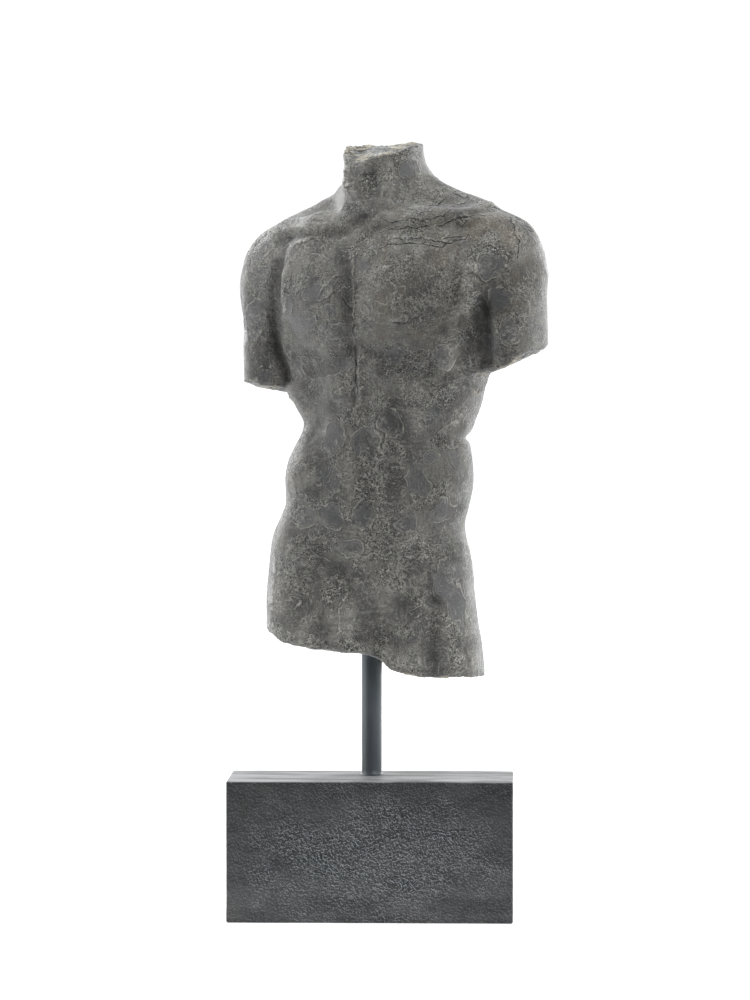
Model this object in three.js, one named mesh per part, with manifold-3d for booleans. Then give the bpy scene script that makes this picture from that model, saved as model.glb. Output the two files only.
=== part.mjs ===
// A cast resin torso of a standing man, broken off at the neck, both upper arms and both thighs,
// held above a plain rectangular block by one round steel post.
// Millimetres, +Z up. The origin is the middle of the block's underside, and the block's wide face
// looks along -Y. +X is the figure's left.
import * as THREE from "three";
import { mergeVertices } from "three/addons/utils/BufferGeometryUtils.js";
import Module from "manifold-3d";

const wasm = await Module();
wasm.setup();

// Block.
const blockWidth = 264;
const blockDepth = 108;
const blockHeight = 131;
const blockChamfer = 1.6;

// Post. It stands a little behind the block's middle, in a blind hole, and ends in a blind socket.
const postDiameter = 19;
const postBehindMiddle = 13;
const postSeat = 30;
const postReach = 50;
const postFillet = 1.6;
const postFilletHeight = 5;
const postSides = 32;

// Torso.
const torsoHeight = 495;
const gapUnderTorso = 92;

// Gap left between pieces that touch.
const clearance = 0.3;

// The figure's own unit is a hundredth of its height. Its frame has the post's axis as Z, the lowest
// break as height 0, +X to the figure's left and +Y to its back.
const unit = torsoHeight / 100;
const cellSize = 2.06;
const degree = Math.PI / 180;

const clamp01 = (t) => Math.min(1, Math.max(0, t));
const mix = (a, b, t) => a + (b - a) * t;

// Goes smoothly from 0 below low to 1 above high.
function rise(value, low, high) {
  const t = clamp01((value - low) / (high - low));
  return t * t * (3 - 2 * t);
}

// Joins two forms with a fillet of about that width.
function join(a, b, fillet) {
  const h = Math.max(fillet - Math.abs(a - b), 0) / fillet;
  return Math.min(a, b) - (h * h * fillet) / 4;
}

// Takes form b out of form a, with a fillet along the cut's edge.
function carve(a, b, fillet) {
  return -join(-a, b, fillet);
}

// Distance to an ellipsoid. turn holds its rotations about X, Y and Z, in degrees.
function egg(centre, radii, turn = [0, 0, 0]) {
  const euler = new THREE.Euler(turn[0] * degree, turn[1] * degree, turn[2] * degree, "ZYX");
  const m = new THREE.Matrix4().makeRotationFromEuler(euler).transpose().elements;
  const [rx, ry, rz] = radii;
  return (x, y, z) => {
    const dx = x - centre[0];
    const dy = y - centre[1];
    const dz = z - centre[2];
    const a = (m[0] * dx + m[4] * dy + m[8] * dz) / rx;
    const b = (m[1] * dx + m[5] * dy + m[9] * dz) / ry;
    const c = (m[2] * dx + m[6] * dy + m[10] * dz) / rz;
    const near = Math.hypot(a, b, c);
    const slope = Math.hypot(a / rx, b / ry, c / rz);
    return slope < 1e-9 ? -Math.min(rx, ry, rz) : (near * (near - 1)) / slope;
  };
}

// Distance to a limb: a tapered rod with round ends, deeper than it is wide by the given factor.
function limb(start, end, startRadius, endRadius, deeper = 1) {
  const ex = end[0] - start[0];
  const ey = (end[1] - start[1]) / deeper;
  const ez = end[2] - start[2];
  const length2 = ex * ex + ey * ey + ez * ez;
  return (x, y, z) => {
    const dx = x - start[0];
    const dy = (y - start[1]) / deeper;
    const dz = z - start[2];
    const t = clamp01((dx * ex + dy * ey + dz * ez) / length2);
    return Math.hypot(dx - t * ex, dy - t * ey, dz - t * ez) - mix(startRadius, endRadius, t);
  };
}

// The forms of one side, with x counted outwards from the midline. Each entry is a form and the
// width of the fillet that joins it to what comes before it.
function trunk() {
  return [
    [egg([0, 0.6, 67], [17.2, 12.6, 23]), 1],
    [egg([0, -0.2, 44], [15.6, 9.8, 22]), 6],
    [egg([0, 1.4, 25], [16.9, 11.4, 14]), 6],
    [egg([12.3, 1.8, 79.4], [13.6, 8.4, 6.8], [0, 8, 0]), 6],
  ];
}

function flank() {
  return [
    [egg([12.8, 4.2, 62], [6.4, 9, 17], [0, 6, 0]), 4],
    [egg([14.6, -1.6, 62], [4.2, 6.4, 10], [0, 8, 0]), 4],
    [egg([11.5, -0.8, 36.8], [6, 8.2, 7.6], [0, 8, 0]), 5],
    [egg([12, 1.2, 14], [6, 8.4, 14], [0, 2, 0]), 4],
  ];
}

function back() {
  return [
    [egg([11.8, 8.6, 72.5], [9.6, 5, 10], [0, 0, -14]), 4],
    [egg([4.4, 8.4, 77], [6.4, 5, 14]), 5],
    [limb([3.9, 7, 30], [4.1, 8, 62], 4.4, 4.2), 3],
  ];
}

function belly() {
  const rows = [57, 49.5, 42.5, 32.5];
  const tall = [4.8, 4.8, 4.8, 8];
  return rows.map((z, i) => [egg([4.3, -8.2 + 0.3 * i, z], [4.9, 3, tall[i]]), 2.6]);
}

function chest() {
  return [
    [egg([9, -6.2, 77.6], [10.5, 5.2, 7], [0, 0, 12]), 4],
    [egg([8.3, -8.6, 70], [9.6, 5.4, 8.8], [0, 0, 14]), 3],
    [egg([15.6, -5.8, 73.6], [8, 4.6, 6.4], [0, -22, 24]), 3.5],
  ];
}

function neck() {
  return [
    [limb([0, 1.6, 80], [0, 0.4, 110], 7.4, 7, 1.07), 3],
    [limb([3.5, 4.2, 90.8], [19.4, 2.4, 84.6], 3.4, 3.2), 4],
    [limb([6.2, -1, 102], [1.5, -6.8, 87], 1.8, 1.5), 2],
    [limb([2, -6.9, 85.8], [11, -6.8, 85], 1.5, 1.4), 4],
    [limb([11, -6.8, 85], [20, -2.6, 84.4], 1.4, 1.6), 4],
  ];
}

function hip() {
  return [
    [egg([8.4, 7.6, 17.5], [9, 8.2, 11.5]), 3],
    [egg([0, -7, 19], [6.4, 4, 6.4]), 5],
  ];
}

function thigh() {
  return [
    [limb([9.2, 0.6, 22], [12.2, 1.2, -12], 9, 10, 1.08), 4],
    [egg([11, -4.2, 7], [8.2, 7, 16]), 3],
    [egg([0, 0.6, 3], [6, 8, 20]), 4],
  ];
}

// A shoulder and its upper arm. drawnIn is how far the arm's end hangs inwards, and end is the
// height at which the arm stops, a little past its break.
function arm(drawnIn, end) {
  const forms = [
    [egg([23.7 - drawnIn * 0.4, 0.8, 75.4], [7.2, 7.8, 10], [0, 6, 0]), 3],
    [limb([24.6 - drawnIn * 0.6, 0.6, 72], [25.4 - drawnIn, 1, 46], 6, 5.8, 1.12), 4],
    [egg([24.8 - drawnIn * 0.8, -2.4, 62], [4.9, 4.5, 9.5]), 2],
    [egg([25.6 - drawnIn, 3.6, 64], [5, 4.6, 11]), 2],
  ];
  return forms.map(([form, fillet]) => [(x, y, z) => Math.max(form(x, y, z), end - z), fillet]);
}

const muscles = [trunk, flank, back, belly, chest, neck, thigh, hip].flatMap((f) => f());
const leftArm = arm(0, 55);
const rightArm = arm(1.5, 53.8);

// Furrows: the breastbone and the line of the belly in front, the spine behind, and the folds of
// the groin.
const furrows = [
  [limb([0, -16.2, 83], [0, -14.4, 60], 1.6, 1.4), 1.6],
  [limb([0, -13, 58], [0, -12.6, 28], 1.3, 0.9), 1.6],
  [limb([0, 14.2, 84], [0, 12.6, 32], 1.5, 1.3), 3.4],
  [limb([17.5, -9.4, 31], [2.6, -12.6, 16], 1.1, 1.2), 3],
];

// Distance to the figure at rest, before it is posed.
function figure(x, y, z) {
  const out = Math.abs(x);
  let d = 1e3;
  for (const [form, fillet] of muscles) d = join(d, form(out, y, z), fillet);
  for (const [form, fillet] of x > 0 ? leftArm : rightArm) d = join(d, form(out, y, z), fillet);
  for (const [form, fillet] of furrows) d = carve(d, form(out, y, z), fillet);
  return Math.max(d, -4 - z, z - 104);
}

// Pose. The chest is turned to the figure's right above the hips and stands a little to its left,
// and the right hip and the left shoulder are the high ones.
const chestTurn = -24;
const chestLean = 3.2;
const neckLean = -1.1;
const thighLean = 0.9;
const hipDrop = 8;
const shoulderLift = 3;

function posed(x, y, z) {
  const up = rise(z, 22, 62);
  const level = z + x * Math.tan(mix(hipDrop, -shoulderLift, up) * degree);
  const turn = -chestTurn * degree * up;
  const kneeward = thighLean * (1 - rise(z, 0, 18));
  const sx = x - kneeward - chestLean * rise(z, 20, 56) - neckLean * rise(z, 84, 98);
  const c = Math.cos(turn);
  const s = Math.sin(turn);
  return figure(c * sx - s * y, s * sx + c * y, level);
}

// Closes the zero surface of a field inside a box with one vertex for each cell that it crosses.
function surfaceOf(field, low, high, cell) {
  const count = low.map((v, i) => Math.ceil((high[i] - v) / cell) + 1);
  const [nx, ny, nz] = count;
  const at = (i, j, k) => (k * ny + j) * nx + i;
  const value = new Float32Array(nx * ny * nz);
  for (let k = 0; k < nz; k++)
    for (let j = 0; j < ny; j++)
      for (let i = 0; i < nx; i++)
        value[at(i, j, k)] = field(low[0] + i * cell, low[1] + j * cell, low[2] + k * cell);
  const vertexOf = new Int32Array(nx * ny * nz).fill(-1);
  const points = [];
  const corners = [0, 1, 2, 3, 4, 5, 6, 7].map((c) => [c & 1, (c >> 1) & 1, c >> 2]);
  for (let k = 0; k < nz - 1; k++)
    for (let j = 0; j < ny - 1; j++)
      for (let i = 0; i < nx - 1; i++) {
        const v = corners.map(([a, b, c]) => value[at(i + a, j + b, k + c)]);
        const sum = [0, 0, 0];
        let crossings = 0;
        for (let a = 0; a < 8; a++)
          for (const bit of [1, 2, 4]) {
            const b = a | bit;
            if (b === a || v[a] < 0 === v[b] < 0) continue;
            const t = v[a] / (v[a] - v[b]);
            for (let n = 0; n < 3; n++) sum[n] += mix(corners[a][n], corners[b][n], t);
            crossings++;
          }
        if (!crossings) continue;
        vertexOf[at(i, j, k)] = points.length;
        points.push([i, j, k].map((c, n) => low[n] + (c + sum[n] / crossings) * cell));
      }
  const faces = [];
  const steps = [
    [1, 0, 0],
    [0, 1, 0],
    [0, 0, 1],
  ];
  for (let k = 1; k < nz - 1; k++)
    for (let j = 1; j < ny - 1; j++)
      for (let i = 1; i < nx - 1; i++)
        for (let n = 0; n < 3; n++) {
          const e = steps[n];
          const u = steps[(n + 1) % 3];
          const w = steps[(n + 2) % 3];
          const inside = value[at(i, j, k)] < 0;
          if (inside === value[at(i + e[0], j + e[1], k + e[2])] < 0) continue;
          const cellAt = (a, b) => {
            const [ci, cj, ck] = [i, j, k].map((v, m) => v - a * u[m] - b * w[m]);
            return vertexOf[at(ci, cj, ck)];
          };
          const ring = [cellAt(0, 0), cellAt(1, 0), cellAt(1, 1), cellAt(0, 1)];
          if (!inside) ring.reverse();
          faces.push(ring);
        }
  return { points, faces };
}

// Moves each vertex onto the field's zero surface, along the field's slope.
function settle(points, field, rounds) {
  const h = 0.05;
  for (let n = 0; n < rounds; n++)
    for (const p of points) {
      const d = field(...p);
      const g = [0, 1, 2].map((i) => {
        const q = [...p];
        q[i] += h;
        return (field(...q) - d) / h;
      });
      const slope2 = g[0] ** 2 + g[1] ** 2 + g[2] ** 2;
      if (slope2 < 1e-6) continue;
      for (let i = 0; i < 3; i++) p[i] -= (d * g[i]) / Math.max(slope2, 0.25);
    }
}

// Evens out the spacing of the vertices: each moves towards the middle of its neighbours.
function even(points, faces, share) {
  const sums = points.map(() => [0, 0, 0, 0]);
  for (const ring of faces)
    ring.forEach((a, i) => {
      const b = ring[(i + 1) % ring.length];
      for (const [from, to] of [
        [a, b],
        [b, a],
      ]) {
        for (let n = 0; n < 3; n++) sums[from][n] += points[to][n];
        sums[from][3]++;
      }
    });
  points.forEach((p, i) => {
    for (let n = 0; n < 3; n++) p[n] = mix(p[n], sums[i][n] / sums[i][3], share);
  });
}

// Turns points and faces into a solid that can be cut.
function solidFrom(points, faces, scale = 1) {
  const triVerts = [];
  const dist2 = (a, b) => points[a].reduce((s, v, n) => s + (v - points[b][n]) ** 2, 0);
  for (const ring of faces) {
    if (ring.length === 3) {
      triVerts.push(...ring);
      continue;
    }
    const [a, b, c, d] = ring;
    if (dist2(a, c) < dist2(b, d)) triVerts.push(a, b, c, a, c, d);
    else triVerts.push(a, b, d, b, c, d);
  }
  return new wasm.Manifold(
    new wasm.Mesh({
      numProp: 3,
      vertProperties: new Float32Array(points.flat().map((v) => v * scale)),
      triVerts: new Uint32Array(triVerts),
    }),
  );
}

// The same for a three.js geometry.
function solidOf(geometry) {
  const g = geometry.clone();
  g.deleteAttribute("normal");
  g.deleteAttribute("uv");
  const merged = mergeVertices(g, 1e-4);
  return new wasm.Manifold(
    new wasm.Mesh({
      numProp: 3,
      vertProperties: merged.attributes.position.array,
      triVerts: new Uint32Array(merged.index.array),
    }),
  );
}

function geometryOf(solid) {
  const m = solid.getMesh();
  const g = new THREE.BufferGeometry();
  g.setAttribute("position", new THREE.BufferAttribute(new Float32Array(m.vertProperties), 3));
  g.setIndex(new THREE.BufferAttribute(new Uint32Array(m.triVerts), 1));
  return g;
}

// The body that a break takes off. It is a bumpy sheet through a point, square to an outward
// direction, with depth behind it. across is the way that its width runs. shape gives how far the
// sheet stands out at u across and v along it, both from -1 to 1.
function breakAt({ point, outward, across, width, breadth, depth, steps, roughness, shape }) {
  const out = new THREE.Vector3(...outward).normalize();
  const side = new THREE.Vector3(...across);
  side.addScaledVector(out, -side.dot(out)).normalize();
  const third = new THREE.Vector3().crossVectors(out, side);
  const [nu, nv] = steps;
  const points = [];
  for (let layer = 0; layer < 2; layer++)
    for (let j = 0; j <= nv; j++)
      for (let i = 0; i <= nu; i++) {
        const u = (2 * i) / nu - 1;
        const v = (2 * j) / nv - 1;
        const coarse = Math.sin(i * 1.7 + point[0]) * Math.cos(j * 1.4 - point[2]);
        const fine = Math.sin(i * 3.1 + j * 2.7 + point[2]);
        const bump = roughness * (0.6 * coarse + 0.4 * fine);
        const p = new THREE.Vector3(...point);
        p.addScaledVector(side, (u * width) / 2);
        p.addScaledVector(third, (v * breadth) / 2);
        p.addScaledVector(out, layer ? depth : bump + shape(u, v));
        points.push(p.toArray());
      }
  const row = nu + 1;
  const far = row * (nv + 1);
  const faces = [];
  for (let j = 0; j < nv; j++)
    for (let i = 0; i < nu; i++) {
      const a = j * row + i;
      faces.push([a, a + row, a + row + 1, a + 1]);
      faces.push([far + a, far + a + 1, far + a + row + 1, far + a + row]);
    }
  const edge = (a, b) => faces.push([a, b, far + b, far + a]);
  for (let i = 0; i < nu; i++) {
    edge(i, i + 1);
    edge(row * nv + i + 1, row * nv + i);
  }
  for (let j = 0; j < nv; j++) {
    edge((j + 1) * row, j * row);
    edge(j * row + nu, (j + 1) * row + nu);
  }
  return solidFrom(points, faces, unit);
}

// The way across the chest and arms, and the way across the hips.
const acrossChest = [Math.cos(chestTurn * degree), Math.sin(chestTurn * degree), 0];
const acrossHips = [1, 0, 0];

// Heights of the thighs' broken undersides, from the figure's right to its left. The left thigh is
// the longer one, and the step between them is just left of the post.
const undersideWidth = 48;
const undersideHeights = [
  [-24, 12.4],
  [-19.4, 9.2],
  [-16, 6.9],
  [-8, 5.6],
  [0.6, 4.6],
  [2.2, 3.2],
  [4, 1.8],
  [7, 0.9],
  [24, 0.3],
];

function undersideAt(x) {
  const after = Math.max(1, undersideHeights.findIndex(([at]) => at >= x));
  const [x0, z0] = undersideHeights[after - 1];
  const [x1, z1] = undersideHeights[after];
  return mix(z0, z1, clamp01((x - x0) / (x1 - x0)));
}

const breaks = {
  neck: {
    point: [2.2, 0, 98.6],
    outward: [-0.13, -0.14, 1],
    across: acrossHips,
    width: 26,
    breadth: 26,
    depth: 14,
    steps: [10, 10],
    roughness: 0.5,
    shape: (u, v) => -1.6 * u * v,
  },
  leftArm: {
    point: [26.8, -9.8, 58],
    outward: [0.22, -0.06, -1],
    across: acrossChest,
    width: 15.4,
    breadth: 19,
    depth: 8,
    steps: [8, 8],
    roughness: 0.4,
    shape: (u, v) => -3.4 * rise(u, 0.1, 1) - 0.8 * rise(-u, 0.3, 1) - 0.8 * v * v,
  },
  rightArm: {
    point: [-19.8, 10.4, 53.9],
    outward: [-0.14, -0.05, -1],
    across: acrossChest,
    width: 14.6,
    breadth: 19,
    depth: 8,
    steps: [8, 8],
    roughness: 0.4,
    shape: (u, v) => -3 * rise(-u, 0.2, 1) - 0.8 * v * v,
  },
  thighs: {
    point: [0, 1, 0],
    outward: [0, 0, -1],
    across: acrossHips,
    width: undersideWidth,
    breadth: 40,
    depth: 12,
    steps: [24, 14],
    roughness: 0.35,
    shape: (u) => -undersideAt((u * undersideWidth) / 2),
  },
};

function postShape() {
  const r = postDiameter / 2;
  const top = gapUnderTorso + postReach;
  const steps = 4;
  const profile = [new THREE.Vector2(0, -postSeat), new THREE.Vector2(r, -postSeat)];
  profile.push(new THREE.Vector2(r, clearance));
  for (let i = 0; i <= steps; i++) {
    const t = (i / steps) * 90 * degree;
    const out = postFillet * (1 - Math.sin(t));
    const up = postFilletHeight * (1 - Math.cos(t));
    profile.push(new THREE.Vector2(r + out, clearance + up));
  }
  profile.push(new THREE.Vector2(r, top), new THREE.Vector2(0, top));
  return new THREE.LatheGeometry(profile, postSides).rotateX(Math.PI / 2);
}

function boreShape(bottom, top) {
  const r = postDiameter / 2 + clearance;
  const g = new THREE.CylinderGeometry(r, r, top - bottom, postSides);
  return g.rotateX(Math.PI / 2).translate(0, 0, (top + bottom) / 2);
}

function blockShape() {
  const w = blockWidth / 2 - blockChamfer;
  const d = blockDepth / 2 - blockChamfer;
  const plan = new THREE.Shape([
    new THREE.Vector2(-w, -d),
    new THREE.Vector2(w, -d),
    new THREE.Vector2(w, d),
    new THREE.Vector2(-w, d),
  ]);
  const g = new THREE.ExtrudeGeometry(plan, {
    depth: blockHeight - 2 * blockChamfer,
    bevelThickness: blockChamfer,
    bevelSize: blockChamfer,
    bevelSegments: 1,
  });
  g.translate(0, 0, blockChamfer);
  const bore = boreShape(blockHeight - postSeat - clearance, blockHeight + postSeat);
  bore.translate(0, postBehindMiddle, 0);
  return geometryOf(solidOf(g).subtract(solidOf(bore)));
}

function torsoShape() {
  const skin = surfaceOf(posed, [-30, -22, -12], [38, 24, 110], cellSize);
  for (let n = 0; n < 3; n++) {
    even(skin.points, skin.faces, 0.4);
    settle(skin.points, posed, 2);
  }
  let solid = solidFrom(skin.points, skin.faces, unit);
  for (const cut of Object.values(breaks)) solid = solid.subtract(breakAt(cut));
  solid = solid.subtract(solidOf(boreShape(-gapUnderTorso / 2, postReach + clearance)));
  return geometryOf(solid);
}

const resin = new THREE.MeshStandardMaterial({ color: 0x63635f, roughness: 0.75, metalness: 0.1 });
const steel = new THREE.MeshStandardMaterial({ color: 0x3c4144, roughness: 0.45, metalness: 0.6 });
const stone = new THREE.MeshStandardMaterial({ color: 0x3e4143, roughness: 0.65, metalness: 0.1 });

function piece(name, geometry, material, x, y, z) {
  const mesh = new THREE.Mesh(geometry, material);
  mesh.name = name;
  mesh.position.set(x, y, z);
  return mesh;
}

const statue = new THREE.Group();
statue.add(piece("block", blockShape(), stone, 0, 0, 0));
statue.add(piece("post", postShape(), steel, 0, postBehindMiddle, blockHeight));
statue.add(
  piece("torso", torsoShape(), resin, 0, postBehindMiddle, blockHeight + gapUnderTorso),
);

export default statue;
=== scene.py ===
import math

import bmesh
import bpy
import numpy as np
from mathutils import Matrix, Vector


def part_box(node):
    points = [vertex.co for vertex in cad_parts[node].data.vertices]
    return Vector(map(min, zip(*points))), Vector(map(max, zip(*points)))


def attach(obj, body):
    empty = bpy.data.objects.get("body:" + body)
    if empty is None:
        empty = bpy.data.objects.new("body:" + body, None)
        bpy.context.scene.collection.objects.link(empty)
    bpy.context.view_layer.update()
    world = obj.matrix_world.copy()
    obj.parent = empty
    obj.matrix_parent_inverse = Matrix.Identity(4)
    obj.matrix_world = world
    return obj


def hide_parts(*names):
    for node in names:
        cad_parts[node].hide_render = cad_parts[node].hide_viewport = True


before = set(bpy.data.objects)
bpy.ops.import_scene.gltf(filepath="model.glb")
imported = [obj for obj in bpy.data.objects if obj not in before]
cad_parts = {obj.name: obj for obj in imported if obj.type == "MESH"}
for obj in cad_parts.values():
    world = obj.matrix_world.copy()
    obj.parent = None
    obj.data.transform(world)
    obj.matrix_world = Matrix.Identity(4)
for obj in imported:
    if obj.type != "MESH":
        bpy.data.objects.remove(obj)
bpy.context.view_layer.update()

# Camera. A long lens nearly five metres off, level with the chest, two degrees to the figure's left
# of the block's front and looking slightly down.
scene = bpy.context.scene
camera_data = bpy.data.cameras.new("camera")
camera_data.sensor_width = 36
camera_data.lens = 188.0
camera = bpy.data.objects.new("camera", camera_data)
camera.location = (0.1671, -4.8298, 0.6021)
camera.rotation_euler = (math.radians(90 - 2.544), 0, math.radians(1.941))
scene.collection.objects.link(camera)
scene.camera = camera

# Studio. A white floor that runs off into a white surround, which is brightest behind the figure. Soft
# boxes stand at its sides, behind it and above it. The one in front stands off to the right and high, so
# that the block's face doesn't mirror it.
scene.view_settings.view_transform = "Standard"
scene.view_settings.look = "None"


def feed(tree, socket, value):
    """Links an output to a socket, or sets the socket to a plain value."""
    if isinstance(value, bpy.types.NodeSocket):
        tree.links.new(value, socket)
    else:
        socket.default_value = value


def node(tree, kind, inputs=None, **settings):
    """Adds a node, with its settings first and then its inputs by name or number."""
    made = tree.nodes.new(kind)
    for name, value in settings.items():
        setattr(made, name, value)
    for socket, value in (inputs or {}).items():
        feed(tree, made.inputs[socket], value)
    return made


def sums(tree, operation, *values):
    """One step of arithmetic on numbers."""
    inputs = dict(enumerate(values))
    return node(tree, "ShaderNodeMath", inputs, operation=operation).outputs[0]


def ramp(tree, value, low, high, start=0.0, end=1.0):
    """Goes smoothly from start to end as value goes from low to high."""
    inputs = {"Value": value, "From Min": low, "From Max": high, "To Min": start, "To Max": end}
    return node(tree, "ShaderNodeMapRange", inputs, interpolation_type="SMOOTHSTEP").outputs[0]


seen_white = 1.05
world = bpy.data.worlds.new("surround")
scene.world = world
world.use_nodes = True
tree = world.node_tree
tree.nodes.clear()
outwards = node(tree, "ShaderNodeTexCoord").outputs["Generated"]
towards = node(tree, "ShaderNodeSeparateXYZ", {0: outwards})
back_to_front = ramp(tree, towards.outputs[1], -0.75, 0.75, 0.13, 0.9)
upwards = ramp(tree, towards.outputs[2], 0.0, 1.0, 0.0, 0.2)
seen = node(tree, "ShaderNodeLightPath").outputs["Is Camera Ray"]
light = sums(tree, "ADD", back_to_front, upwards)
light = sums(tree, "MULTIPLY_ADD", seen, sums(tree, "SUBTRACT", seen_white, light), light)
background = node(tree, "ShaderNodeBackground", {"Color": (1, 1, 1, 1), "Strength": light})
tree.links.new(background.outputs[0], node(tree, "ShaderNodeOutputWorld").inputs[0])

floor_mesh = bpy.data.meshes.new("floor")
reach = 30.0
near = -0.35
floor_mesh.from_pydata(
    [(-reach, near, 0), (reach, near, 0), (reach, reach, 0), (-reach, reach, 0)], [], [(0, 1, 2, 3)]
)
floor = bpy.data.objects.new("floor", floor_mesh)
scene.collection.objects.link(floor)
paint = bpy.data.materials.new("floor paint")
paint.use_nodes = True
shader = paint.node_tree.nodes["Principled BSDF"]
shader.inputs["Base Color"].default_value = (0.93, 0.93, 0.93, 1)
shader.inputs["Roughness"].default_value = 0.9
shader.inputs["Emission Color"].default_value = (1, 1, 1, 1)
shader.inputs["Emission Strength"].default_value = 0.55
floor_mesh.materials.append(paint)

# Each soft box: its place, its width and height, and its power in watts.
aim = Vector((0, 0, 0.42))
soft_boxes = {
    "left box": ((-2.3, -0.3, 1.0), (0.8, 1.8), 21),
    "right box": ((2.3, -0.1, 1.0), (0.8, 1.8), 14),
    "left back box": ((-1.7, 2.4, 1.4), (0.9, 2.2), 60),
    "right back box": ((1.7, 2.4, 1.1), (0.9, 2.2), 50),
    "top box": ((-0.3, 0.0, 2.6), (1.4, 1.2), 19),
    "front box": ((1.9, -2.9, 1.9), (1.4, 1.4), 60),
}
for name, (place, size, power) in soft_boxes.items():
    lamp = bpy.data.lights.new(name, "AREA")
    lamp.shape = "RECTANGLE"
    lamp.size, lamp.size_y = size
    lamp.energy = power
    box = bpy.data.objects.new(name, lamp)
    box.location = place
    box.rotation_euler = (aim - Vector(place)).to_track_quat("-Z", "Y").to_euler()
    box.visible_camera = False
    scene.collection.objects.link(box)

# Block. One heavy casting in charcoal resin, with slightly rounded edges. Its skin is smooth with a
# slate sheen, and shallow wormy pits lie over it, most of them in the middle of each face.
block_low, block_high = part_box("block")
block_edge = 0.0016
block_steps = (0.001, 0.003, 0.001)


def rounded_box(name, low, high, edge, steps):
    """A box of small cells, of these steps along x, y and z, with rounded edges and corners."""
    low, high = np.array(low), np.array(high)
    counts = [max(2, round(float(length) / step)) for length, step in zip(high - low, steps)]
    points, faces = [], []
    for axis in range(3):
        u, v = (axis + 1) % 3, (axis + 2) % 3
        across, along = np.meshgrid(
            np.linspace(low[u], high[u], counts[u] + 1), np.linspace(low[v], high[v], counts[v] + 1)
        )
        for end in (0, 1):
            start = sum(len(part) for part in points)
            side = np.empty((across.size, 3))
            side[:, u], side[:, v] = across.ravel(), along.ravel()
            side[:, axis] = high[axis] if end else low[axis]
            points.append(side)
            row = counts[u] + 1
            corner = (np.arange(counts[v])[:, None] * row + np.arange(counts[u])).ravel() + start
            ring = np.stack([corner, corner + 1, corner + row + 1, corner + row], axis=1)
            faces.append(ring if end else ring[:, ::-1])
    points = np.concatenate(points)
    core = np.clip(points, low + edge, high - edge)
    out = points - core
    far = np.linalg.norm(out, axis=1, keepdims=True)
    points = core + out / np.maximum(far, 1e-9) * np.minimum(far, edge)
    mesh = bpy.data.meshes.new(name)
    mesh.from_pydata(points.tolist(), [], np.concatenate(faces).tolist())
    shape = bmesh.new()
    shape.from_mesh(mesh)
    bmesh.ops.remove_doubles(shape, verts=shape.verts, dist=1e-6)
    bmesh.ops.recalc_face_normals(shape, faces=shape.faces)
    shape.to_mesh(mesh)
    shape.free()
    return mesh


def noise(tree, place, scale, detail=2.0, warp=0.0, seed=0.0):
    """Cloudy noise from 0 to 1, with scale cells to a metre."""
    inputs = {"Vector": place, "Scale": scale, "Detail": detail, "Distortion": warp, "W": seed}
    return node(tree, "ShaderNodeTexNoise", inputs, noise_dimensions="4D").outputs[0]


def lines(tree, cloud, width):
    """Thin lines where a cloudy noise passes its middle value: 1 on the line, 0 off it."""
    off = sums(tree, "ABSOLUTE", sums(tree, "SUBTRACT", cloud, 0.5))
    return ramp(tree, off, 0.0, width, 1.0, 0.0)


def vector_sum(tree, operation, first, second):
    """One step of arithmetic on places."""
    return node(tree, "ShaderNodeVectorMath", {0: first, 1: second}, operation=operation).outputs[0]


def stretched(tree, place, scale):
    """The same place, with each axis scaled by its own factor."""
    return vector_sum(tree, "MULTIPLY", place, scale)


pitted_middle = (0, 0, 0.062)
pitted_falloff = (10.5, 7.0, 22.0)


def pitted(tree, place):
    """Where the block is pitted: most of all in an oval in the middle of its height."""
    middle = stretched(tree, vector_sum(tree, "SUBTRACT", place, pitted_middle), pitted_falloff)
    far = node(tree, "ShaderNodeVectorMath", {0: middle}, operation="LENGTH").outputs["Value"]
    cloud = sums(tree, "SUBTRACT", noise(tree, place, 34, 3.0, 0.4, 5), 0.5)
    return ramp(tree, sums(tree, "MULTIPLY_ADD", cloud, 2.4, far), 0.4, 1.7, 1.0, 0.0)


def wormy_pits(tree, place):
    """The block's skin: short curled hollows and the raised rims beside them, each from 0 to 1."""
    cloud = noise(tree, place, 320, 0.6, 0.8, 3)
    broken = ramp(tree, noise(tree, place, 300, 1.0, 0, 8), 0.42, 0.50)
    where = sums(tree, "MULTIPLY", broken, pitted(tree, place))
    hollow = sums(tree, "MULTIPLY", lines(tree, cloud, 0.075), where)
    rim = lines(tree, sums(tree, "ADD", cloud, 0.115), 0.06)
    return hollow, sums(tree, "MULTIPLY", rim, where)


def relief_tree(name, sizes):
    """Starts a node tree that moves a surface along its normals, with named inputs for its sizes."""
    tree = bpy.data.node_groups.new(name, "GeometryNodeTree")
    tree.interface.new_socket("Geometry", in_out="INPUT", socket_type="NodeSocketGeometry")
    tree.interface.new_socket("Material", in_out="INPUT", socket_type="NodeSocketMaterial")
    for title, value in sizes.items():
        socket = tree.interface.new_socket(title, in_out="INPUT", socket_type="NodeSocketFloat")
        socket.default_value = value
    tree.interface.new_socket("Geometry", in_out="OUTPUT", socket_type="NodeSocketGeometry")
    return tree, node(tree, "NodeGroupInput")


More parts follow.
